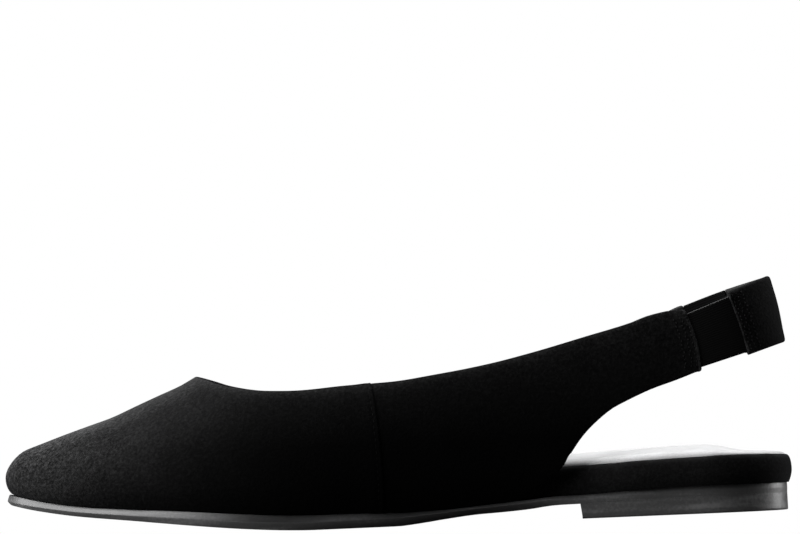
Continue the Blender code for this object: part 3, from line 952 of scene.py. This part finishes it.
# The upper's and the band's suede carries painted light and a painted highlight in its colour.
suede = suede_material("black_suede", 0.0022, 0.0190, 0.02, 0.0003, paint_light_on_toe=True)
worn = suede_material("black_suede_worn_edge", 0.007, 0.028, 0.03, 0.0003)
wrap = suede_material("black_suede_wrap", 0.0048, 0.0112, 0.03, 0.0002)
lining = lining_material()
sole_black = sole_material("black_sole_edge")
sole_bevel_dirt_and_shade = sole_material("black_sole_bevel", bevel_dirt_and_shade=True)
sock_grey = sock_material()
web = elastic_material("black_elastic_web", 0.0026, 0.0050)
# The elastic's top edge in a paler colour: a painted highlight where the top light catches it.
web_edge_highlight = elastic_material("elastic_web_edge_highlight", 0.03, 0.09)
thread = thread_material()


# Upper

def rib_stations():
    """Stations of one side's ribs, closer at the toe, at the seam and at the rounded wing end."""
    fine = np.linspace(WING_START, SHOE_LENGTH, 1500)
    points = []
    for station in fine:
        point = plan_point(turn_at(station, LATERAL))
        point[2] = lower_edge(station / SHOE_LENGTH, LATERAL)
        points.append(point)
    steps = np.linalg.norm(np.diff(points, axis=0), axis=1)
    share = fine[1:] / SHOE_LENGTH
    steps *= 1 + np.clip((share - 0.82) / 0.1, 0, 1) + 0.7 * ((share > 0.24) & (share < 0.32))
    run = np.concatenate(([0.0], np.cumsum(steps)))
    stations = np.interp(np.linspace(0.0, run[-1], SIDE_RIBS), run, fine)
    end = [WING_START + d for d in (0.0, 0.05, 0.15, 0.30, 0.45, 0.75, 1.1, 1.5)]
    seam = [SEAM_STATION + d for d in (-0.35, -0.02, 0.03, 0.10, 0.22, 0.40, 0.75, 1.1,
                                       SEAM_STITCHING, 1.8)]
    calm = stations[(stations > end[-1] + 0.2) & (abs(stations - SEAM_STATION - 0.7) > 1.5)]
    return np.sort(np.concatenate((end, calm, seam)))


def seam_lift(station):
    """The vamp's skived edge lies over the quarter, with a stitched groove just ahead of it."""
    ahead = station - SEAM_STATION
    if ahead < 0:
        return -0.10 * math.exp(-(ahead / 0.5) ** 2)
    edge = math.sqrt(max(1 - (1 - min(ahead / 0.3, 1.0)) ** 2, 0.0))
    lap = SEAM_STEP * edge * (1 - ease(ahead, 1.0, SEAM_SKIVE))
    return lap - 0.14 * math.exp(-((ahead - SEAM_STITCHING) / 0.45) ** 2)


def corner_cut(distance, radius):
    """How much a rounded corner takes off an edge at a distance from its end."""
    if distance >= radius:
        return 0.0
    return radius - math.sqrt(radius ** 2 - (radius - distance) ** 2)


def upper_skin():
    """The outer face of the upper as columns of points, with its unit normals."""
    stations = rib_stations()
    ribs = [(s, LATERAL) for s in stations] + [(s, MEDIAL) for s in stations[-2::-1]]
    grid = []
    for station, side in ribs:
        t = station / SHOE_LENGTH
        bias = mix(1.0, 1.35, ease(t, 0.28, 0.4))
        behind = station - WING_START
        low = CUT_ROUND + corner_cut(behind, WING_LOW_ROUND)
        top = FOLD_ROUND - mix(0.5, 0.3, ease(t, 0.66, 0.75)) + corner_cut(behind, WING_TOP_ROUND)
        rib = trimmed(rib_path(station, side), RIB_ROWS, bias, low, top)
        bow = WING_BOW * (1 - ease(station, WING_START, WING_START + 10))
        rib[:, 0] -= bow * np.sin(math.pi * np.linspace(0.0, 1.0, RIB_ROWS))
        grid.append(rib)
    grid = np.array(grid)
    normals = surface_normals(grid, 1)
    return ribs, grid, normals


ribs, skin, skin_normals = upper_skin()
lifted = skin.copy()
for index, (station, side) in enumerate(ribs):
    heights = np.linspace(0.0, 1.0, RIB_ROWS)
    lift = np.full(RIB_ROWS, seam_lift(station))
    if station > SEAM_STATION + 1:
        lift += 0.05 * np.sin(station / 9.0 + 3 * heights) * np.sin(4.2 * heights)
    lift += 0.10 * np.exp(-((1 - heights) * 28 - 0.6) ** 2)
    lifted[index] += skin_normals[index] * lift[:, None]
end_fullness = [0.60, 0.78, 0.90, 0.98, 1.0]
full_columns = np.ones(len(ribs) - 2 * len(end_fullness))
fullness = np.concatenate((end_fullness, full_columns, end_fullness[::-1]))
section = closed_wall(lifted, skin_normals, WALL, fullness, FOLD_ROUND, CUT_ROUND)
bm = bent_grid(section)
# Painted highlight over the vamp's crown and along the topline, stored at the points
paint_rim_highlight(bm, end_doubled(lifted), end_doubled(skin_normals))
line_faces(bm, RIB_ROWS, len(section))
wear_ends(bm, len(section), 7)
finish_piece("upper_suede", bm, [suede, lining, worn], ["upper"], sharp=50)


# Sling: the elastic pieces and the band behind the heel

full_ends = {side: trimmed(rib_path(WING_START, side), RIB_ROWS, 1.0, 0.0, 0.0)
             for side in (LATERAL, MEDIAL)}


def wing_end(rows, height):
    where = np.linspace(0.0, 1.0, len(rows))
    return np.array([np.interp(height, where, rows[:, k]) for k in range(3)])


def sling_point(share, height):
    """A point of the loop behind the heel: share 0 at a wing's end and 1 at the back."""
    side = LATERAL if share >= 0 else MEDIAL
    reach = abs(share)
    end = wing_end(full_ends[side], height)
    back = np.array((mix(BAND_SETBACK, BAND_SETBACK + BAND_LEAN, height), 0.0,
                     mix(BAND_TOP - BAND_WIDTH, BAND_TOP, height)))
    centre = end[0] + BAND_RUN
    length = centre - back[0]
    x = mix(end[0], back[0], reach)
    width = end[1] / (1 - (BAND_RUN / length) ** BAND_ROUND) ** (1 / BAND_ROUND)
    far = min((centre - x) / length, 1.0)
    y = width * (1 - far ** BAND_ROUND) ** (1 / BAND_ROUND)
    bow = INNER_BOW * math.sin(math.pi * reach) * height if side == MEDIAL else 0.0
    return np.array((x, y, mix(end[2], back[2], reach) + bow))


def elastic_share(height, side):
    end = wing_end(full_ends[side], height)
    back = mix(BAND_SETBACK, BAND_SETBACK + BAND_LEAN, height)
    return (ELASTIC_LENGTH + ELASTIC_FLARE * (1 - 2 * height)) / (end[0] - back)


def elastic_piece(name, side, node_name):
    trim = (ELASTIC_TRIM + 0.2) / BAND_WIDTH
    grid = []
    for back in np.arange(ELASTIC_COLUMNS) / (ELASTIC_COLUMNS - 1):
        column = []
        low = trim + 0.5 / BAND_WIDTH * (1 - back)
        for height in np.linspace(low, 1 - (trim if side == LATERAL else 0.0), ELASTIC_ROWS):
            bowed = JOINT_GAP + WING_BOW * math.sin(math.pi * height)
            first = bowed / (wing_end(full_ends[side], height)[0] - BAND_SETBACK)
            share = mix(first, elastic_share(height, side), back)
            column.append(sling_point(share * side, height))
        grid.append(column)
    grid = np.array(grid)
    normals = surface_normals(grid, -side)
    section = closed_wall(grid - normals * ELASTIC_SINK, normals, ELASTIC_WALL,
                          np.ones(ELASTIC_COLUMNS), WEB_ROUND, WEB_ROUND)
    bm = bent_grid(section)
    # the elastic's top edge gets the paler colour, a painted highlight
    finish_rows(bm, ELASTIC_ROWS, ELASTIC_ROWS + CORNER_STEPS, len(section))
    finish_piece(name, bm, [web, web_edge_highlight], [node_name], sharp=50)


elastic_piece("elastic_web_lateral", LATERAL, "elastic_lateral")
elastic_piece("elastic_web_medial", MEDIAL, "elastic_medial")


def band_column(turn, count, trim):
    side = LATERAL if turn > 0 else MEDIAL
    column = []
    for height in np.linspace(trim / BAND_WIDTH, 1 - (trim - 0.35) / BAND_WIDTH, count):
        gap = 2 * JOINT_GAP / (wing_end(full_ends[side], height)[0] - BAND_SETBACK)
        first = elastic_share(height, side) + gap
        share = 1 - (1 - first) * (1 - math.cos(math.pi / 2 * abs(turn)))
        column.append(sling_point(share if turn >= 0 else -share, height))
    return column


def heel_band():
    near_end = np.array((1.0, 0.9975, 0.993, 0.985))
    rounding = (0.62, 0.85, 0.97, 1.0)
    turns = np.concatenate((near_end, np.linspace(0.97, -0.97, BAND_TURNS), -near_end[::-1]))
    grid = np.array([band_column(turn, BAND_ROWS, FOLD_ROUND) for turn in turns])
    normals = surface_normals(grid, -1)
    fullness = np.concatenate((rounding, np.ones(BAND_TURNS), rounding[::-1]))
    heights = np.linspace(0.0, 1.0, BAND_ROWS)
    lift = 0.10 * (np.exp(-(heights * 14 - 0.5) ** 2) + np.exp(-((1 - heights) * 14 - 0.5) ** 2))
    full_back = 0.50 * np.sin(math.pi * heights ** 1.2)
    lift = lift[None, :] + full_back[None, :] * (1 - abs(turns) ** 6)[:, None]
    half_up = BAND_ROWS // 2
    for column, turn in enumerate(turns):
        edge = np.linalg.norm(grid[column, half_up] - grid[0 if turn > 0 else -1, half_up])
        curl = math.exp(-(edge / 1.6) ** 2)
        lift[column] += curl * (0.75 * np.exp(-((1 - heights) / 0.10) ** 2)
                                + 0.45 * np.exp(-(heights / 0.12) ** 2))
    outer = grid + normals * lift[:, :, None]
    section = closed_wall(outer, normals, WALL, fullness, FOLD_ROUND, FOLD_ROUND)
    bm = bent_grid(section)
    line_faces(bm, BAND_ROWS, len(section))
    wear_ends(bm, len(section), 4)
    finish_piece("heel_band_suede", bm, [suede, lining, worn], ["heel_strap"], sharp=50)
    return turns, outer, normals


band_turns, band_face, band_normals = heel_band()


# Stitches

def point_on(where, run, points):
    """The point at one place of a run of points."""
    points = np.asarray(points)
    return np.array([np.interp(where, run, points[:, k]) for k in range(3)])


def stitch_row(bm, path, normals, length=STITCH_LENGTH, pitch=STITCH_PITCH, width=THREAD, uneven=0):
    """Lays short stitches end to end along a path, sunk halfway into the suede."""
    path = np.array(path)
    steps = np.linalg.norm(np.diff(path, axis=0), axis=1)
    run = np.concatenate(([0.0], np.cumsum(steps)))
    count = int((run[-1] - length) / pitch)
    for k in range(count + 1):
        start = (run[-1] - count * pitch - length) / 2 + k * pitch
        first = point_on(start, run, path)
        last = point_on(start + length, run, path)
        out = point_on(start + length / 2, run, normals)
        along = Vector(last - first).normalized()
        up = Vector(out)
        up = (up - along * up.dot(along)).normalized()
        turned = Matrix((along, up.cross(along), up)).transposed().to_4x4()
        size = Matrix.Diagonal((length / 2000, width / 2000, width / 2000, 1.0))
        drift = np.array(up.cross(along)) * (0.16 * math.sin(2.4 * k + 40 * length + run[-1]))
        middle = place_on_floor((first + last) / 2 + out * width * 0.18 + drift * uneven)
        bmesh.ops.create_icosphere(bm, subdivisions=1, radius=1.0,
                                   matrix=Matrix.Translation(middle) @ turned @ size)


def column_at(station, side):
    """The upper's outer face and its normals along one rib."""
    index = min((i for i in range(len(ribs)) if ribs[i][1] == side),
                key=lambda i: abs(ribs[i][0] - station))
    return lifted[index], skin_normals[index]


def along_end(distance, side):
    """A line across the wing, a distance ahead of its end, from one edge to the other."""
    near = [i for i, (station, where) in enumerate(ribs) if where == side and station < WING_START + 14]
    order = sorted(near, key=lambda i: ribs[i][0])
    points = []
    normals = []
    for share in np.linspace(0.08, 0.93, 30):
        row = int(round(share * (RIB_ROWS - 1)))
        xs = lifted[order, row, 0]
        points.append(point_on(xs[0] + distance, xs, lifted[order, row]))
        normals.append(point_on(xs[0] + distance, xs, skin_normals[order, row]))
    return np.array(points), np.array(normals)


bm = bmesh.new()
for side in (LATERAL, MEDIAL):
    rib, out = column_at(SEAM_STATION + SEAM_STITCHING, side)
    stitch_row(bm, rib[4:-1], out[4:-1])
    for distance in WING_STITCHING:
        rib, out = along_end(distance, side)
        stitch_row(bm, rib, out, *END_STITCHES)
for side in (LATERAL, MEDIAL):
    near = [i for i, turn in enumerate(band_turns) if turn * side > 0.2]
    for distance in BAND_STITCHING:
        rows = []
        outs = []
        for row in range(BAND_ROWS):
            order = sorted(near, key=lambda i, row=row: band_face[i, row, 0])
            xs = band_face[order, row, 0]
            rows.append(point_on(xs[-1] - distance, xs, band_face[order, row]))
            outs.append(point_on(xs[-1] - distance, xs, band_normals[order, row]))
        stitch_row(bm, np.array(rows), np.array(outs), *END_STITCHES)
finish_piece("stitches", bm, [thread], weld=0)


# Sole, heel, footbed and sock: closed shapes from rings round the last

def ring(inset, height):
    """One ring round the last, and the point halfway to the other side for each of its points."""
    points = []
    for k in range(PLAN_POINTS + 1):
        turn = 2 * k / PLAN_POINTS
        side = LATERAL if turn <= 1.0 else MEDIAL
        t = station_share(turn)
        point = plan_point(turn) - plan_normal(turn) * inset(t, side, turn)
        point[2] = height(t, side, turn)
        points.append(point)
    points = np.array(points)
    return points, (points + points[::-1]) / 2


def closed_from_rings(rings, top_steps=CLOSING_ROWS, crown_lift=None):
    """Rings from the lowest to the highest, closed over the middle line at both ends."""
    low, low_middle = rings[0]
    top, top_middle = rings[-1]
    rows = [mix(low_middle, low, k / CLOSING_ROWS) for k in range(CLOSING_ROWS)]
    rows += [points for points, _ in rings]
    for k in range(1, top_steps + 1):
        share = k / top_steps
        row = mix(top, top_middle, share)
        if crown_lift:
            row[:, 2] += [crown_lift(point[0] / SHOE_LENGTH, share) for point in top_middle]
        rows.append(row)
    return np.stack(rows, axis=1)


def rim_lift(t):
    """Under the upper the sole comes up to the lasting edge."""
    return (GAP - 0.03) * ease(t, 0.30, 0.36)


def ridge_height(t):
    return sole_bottom(t) + SOLE_EDGE * edge_share(t) * ridge_share(t)


def outsole_piece():
    """A two-bevel edge: the ridge is rounded and each bevel is slightly hollow."""
    rings = []
    for low, up in ((1.30, 0.0), (1.08, 0.02), (0.96, 0.10), (0.60, 0.36), (0.26, 0.66),
                    (0.08, 0.86), (0.0, 0.97)):
        rings.append(ring(
            lambda t, side, turn, low=low: sole_inset(t, side) + EDGE_RIDGE * edge_bottom(t) * low,
            lambda t, side, turn, up=up: mix(sole_bottom(t), ridge_height(t), up)))
    for top, up in ((0.0, 0.03), (0.05, 0.12), (0.22, 0.34), (0.48, 0.60), (0.76, 0.84), (1.05, 1.0)):
        rings.append(ring(
            lambda t, side, turn, top=top: sole_inset(t, side) + EDGE_RIDGE * edge_top(t) * top,
            lambda t, side, turn, up=up: mix(ridge_height(t), sole_top(t) + rim_lift(t), up)))
    bm = bent_grid(closed_from_rings(rings))
    for face in bm.faces:
        middle = face.calc_center_median() * 1000.0
        t = min(max((middle.x + HEEL_CENTRE) / SHOE_LENGTH, 0.0), 1.0)
        if middle.z > ridge_height(t) + 0.02:
            face.material_index = SECOND_FINISH
    finish_piece("outsole_edge", bm, [sole_black, sole_bevel_dirt_and_shade], ["outsole"], sharp=20)


outsole_piece()


def heel_piece():
    """The low block: round the seat, then straight across its breast."""
    front = SEAT_OVERHANG + HEEL_LENGTH - HEEL_LEAN
    reach = turn_at(front, LATERAL)

    def middle_line(row):
        """The line that both sides of a row close onto, alike from either side."""
        middle = row.copy()
        middle[:, 1] = 0.0
        middle[:, 0] = np.clip(middle[:, 0], 3.0, front - 3.0)
        middle[:HEEL_POINTS] = (middle[:HEEL_POINTS] + middle[HEEL_POINTS - 1::-1]) / 2
        return middle

    def loop(inset, height, lean):
        points = []
        for turn in np.linspace(reach, -reach, HEEL_POINTS):
            side = LATERAL if turn >= 0 else MEDIAL
            t = station_share(turn)
            point = plan_point(turn) - plan_normal(turn) * (sole_inset(t, side) + inset)
            point[0] = min(point[0], front + lean)
            point[2] = height(t)
            points.append(point)
        points[0][0] = front + lean
        points[-1][0] = front + lean
        first = points[0].copy()
        last = points[-1].copy()
        for k in range(1, BREAST_POINTS + 1):
            point = mix(last, first, k / BREAST_POINTS)
            point[2] = height(front / SHOE_LENGTH)
            points.append(point)
        points[-1] = first
        return np.array(points)

    floor = [(0.30, 0.0, -0.15), (0.18, 0.04, -0.09), (0.07, 0.12, -0.03), (0.0, 0.30, 0.0),
             (0.0, HEEL_BEVEL, 0.0)]
    rows = [loop(inset, lambda t, z=z: z, lean) for inset, z, lean in floor]
    for share in (0.25, 0.5, 0.75, 0.97):
        rows.append(loop(EDGE_RIDGE * 0.1 * share,
                         lambda t, s=share: mix(HEEL_BEVEL, sole_bottom(t) - JOINT_GAP, s),
                         HEEL_LEAN * share))
    rows.append(loop(0.07, lambda t: sole_bottom(t) - JOINT_GAP / 2, HEEL_LEAN))
    bottom = middle_line(rows[0])
    top = middle_line(rows[-1])
    points = np.stack([bottom, mix(bottom, rows[0], 0.5), *rows, mix(rows[-1], top, 0.5), top], axis=1)
    finish_piece("heel_block", bent_grid(points), [sole_black], ["heel"], sharp=35)


heel_piece()


def wrap_wave(t, side, turn):
    """The turned-over edge of the wrap is a little uneven, with one small lump at the seat."""
    angle = math.pi * turn
    wave = 0.10 * math.sin(23 * angle) + 0.07 * math.sin(41 * angle + 1.3)
    lump = 0.32 * math.exp(-((t - 0.075) / 0.030) ** 2) if side == LATERAL else 0.0
    return (wave + lump) * (1 - ease(t, 0.30, 0.40))


def footbed_piece():
    rings = []
    for k in range(WRAP_RINGS + 1):
        angle = math.pi / 2 * k / WRAP_RINGS
        up = math.sin(angle)
        round_in = (1 - math.cos(angle) ** 0.75) if k else 0.0
        low_in = 0.30 * max(1 - up / 0.5, 0.0) ** 2

        def inner(t, side, turn, round_in=round_in, low_in=low_in, up=up):
            thick = (board_top(t) - feather(t)) / SEAT_BOARD
            soft = 0.05 * math.sin(17 * math.pi * turn + 2 * up)
            soft -= 0.35 * (1 - ease(t, 0.0, 0.10)) * math.sin(math.pi * up)
            return board_inset(t, side) + RAND_ROUND * thick * max(round_in ** 2.2, low_in) + soft

        def height(t, side, turn, up=up):
            lift = wrap_wave(t, side, turn) * ease(up, 0.5, 0.95)
            low = sole_top(t) + JOINT_GAP + rim_lift(t)
            return mix(low, board_top(t), up) + lift * (1 - ease(up, 0.97, 1.0) * 0.5)

        rings.append(ring(inner, height))
    finish_piece("footbed_wrap", bent_grid(closed_from_rings(rings)), [wrap], ["footbed"],
                 sharp=60)


footbed_piece()


def sock_piece():
    """The padded cover: its edge dips into the wrap and its middle is crowned."""
    rings = []
    for k in range(SOCK_RINGS + 1):
        angle = math.pi / 2 * k / SOCK_RINGS
        up = math.sin(angle)
        inset = 1.35 * (1 - math.cos(angle)) ** 0.9 - 0.2

        def inner(t, side, turn, inset=inset):
            return board_inset(t, side) + PAD_INSET + PAD_EDGE * inset

        def height(t, side, turn, up=up):
            dip = 0.04 + wrap_wave(t, side, turn) * 0.5 * (1 - up)
            return board_top(t) + max(dip, 0.03) + (PAD_EDGE * pad_share(t) + GAP) * up

        rings.append(ring(inner, height))

    def crown_lift(t, share):
        return PAD_CROWN * pad_crown(t) * (1 - abs(1 - share) ** 2.5)

    points = closed_from_rings(rings, 16, crown_lift)
    sock = finish_piece("padded_sock", bent_grid(points), [sock_grey], ["sock"], sharp=60)


sock_piece()


# Studio: camera, lights and floor

CAMERA_ROLL = math.radians(2.362)
CAMERA_YAW = math.radians(1.9)
CAMERA_DISTANCE = 2.0
CAMERA_HEIGHT = 0.030
SENSOR_WIDTH = 36.0
PICTURE_WIDTH = 800
PIXELS_PER_MM = 3.1198
TARGET = Vector(((122.22 - HEEL_CENTRE) / 1000, 0.0, 0.08252))

pitch = math.asin((TARGET.z - CAMERA_HEIGHT) / CAMERA_DISTANCE)
look = Vector((math.sin(CAMERA_YAW) * math.cos(pitch), -math.cos(CAMERA_YAW) * math.cos(pitch),
               math.sin(pitch)))
right = look.cross(Vector((0, 0, 1))).normalized()
up = right.cross(look)
rolled_right = right * math.cos(CAMERA_ROLL) - up * math.sin(CAMERA_ROLL)
rolled_up = right * math.sin(CAMERA_ROLL) + up * math.cos(CAMERA_ROLL)
camera_data = bpy.data.cameras.new("camera")
camera_data.sensor_width = SENSOR_WIDTH
camera_data.lens = PIXELS_PER_MM * CAMERA_DISTANCE * 1000 * SENSOR_WIDTH / PICTURE_WIDTH
camera = bpy.data.objects.new("camera", camera_data)
bpy.context.collection.objects.link(camera)
turned = Matrix((rolled_right, rolled_up, -look)).transposed().to_4x4()
camera.matrix_world = Matrix.Translation(TARGET - look * CAMERA_DISTANCE) @ turned
bpy.context.scene.camera = camera


def soft_light(name, place, aim, size, power):
    data = bpy.data.lights.new(name, "AREA")
    data.shape = "RECTANGLE"
    data.size, data.size_y = size
    data.energy = power
    lamp = bpy.data.objects.new(name, data)
    lamp.location = place
    lamp.rotation_euler = (Vector(aim) - Vector(place)).to_track_quat("-Z", "Y").to_euler()
    bpy.context.collection.objects.link(lamp)


soft_light("top_softbox", (0.40, -0.10, 1.25), (0.09, 0.0, 0.03), (1.0, 0.9), 26.0)
soft_light("toe_softbox", (1.20, 0.25, 0.50), (0.14, 0.0, 0.02), (1.3, 1.0), 28.0)
soft_light("edge_softbox", (0.93, 0.69, 1.03), (0.12, 0.0, 0.01), (0.7, 0.8), 5.5)
soft_light("heel_softbox", (-0.92, -0.42, 0.35), (0.0, 0.0, 0.02), (0.5, 0.7), 9.5)


def lit_for_view(tree, seen, bounced, output):
    """White where the camera sees it, dimmer where it only lights the shoe."""
    path = tree.nodes.new("ShaderNodeLightPath")
    either = tree.nodes.new("ShaderNodeMixShader")
    feed(tree, either, {"Fac": path.outputs["Is Camera Ray"], 1: bounced, 2: seen})
    feed(tree, tree.nodes[output], {"Surface": either.outputs["Shader"]})


world = bpy.data.worlds.new("studio")
bpy.context.scene.world = world
world.use_nodes = True
tree = world.node_tree
bright = tree.nodes["Background"]
dim = tree.nodes.new("ShaderNodeBackground")
feed(tree, bright, {"Color": (1.0, 1.0, 1.0, 1.0)})
feed(tree, dim, {"Color": (0.02, 0.02, 0.02, 1.0)})
lit_for_view(tree, bright.outputs["Background"], dim.outputs["Background"], "World Output")

floor_material = bpy.data.materials.new("white_floor")
floor_material.use_nodes = True
tree = floor_material.node_tree
glow = tree.nodes.new("ShaderNodeEmission")
matt = tree.nodes.new("ShaderNodeBsdfDiffuse")
feed(tree, glow, {"Color": (1.0, 1.0, 1.0, 1.0)})
feed(tree, matt, {"Color": (0.06, 0.06, 0.06, 1.0)})
lit_for_view(tree, glow.outputs["Emission"], matt.outputs["BSDF"], "Material Output")
bm = bmesh.new()
bmesh.ops.create_grid(bm, x_segments=2, y_segments=2, size=6.0)
bmesh.ops.translate(bm, verts=bm.verts, vec=(0.0, 0.0, -0.0002))
floor_mesh = bpy.data.meshes.new("floor")
bm.to_mesh(floor_mesh)
bm.free()
floor_mesh.materials.append(floor_material)
floor = bpy.data.objects.new("floor", floor_mesh)
bpy.context.collection.objects.link(floor)

bpy.context.scene.view_settings.view_transform = "Standard"
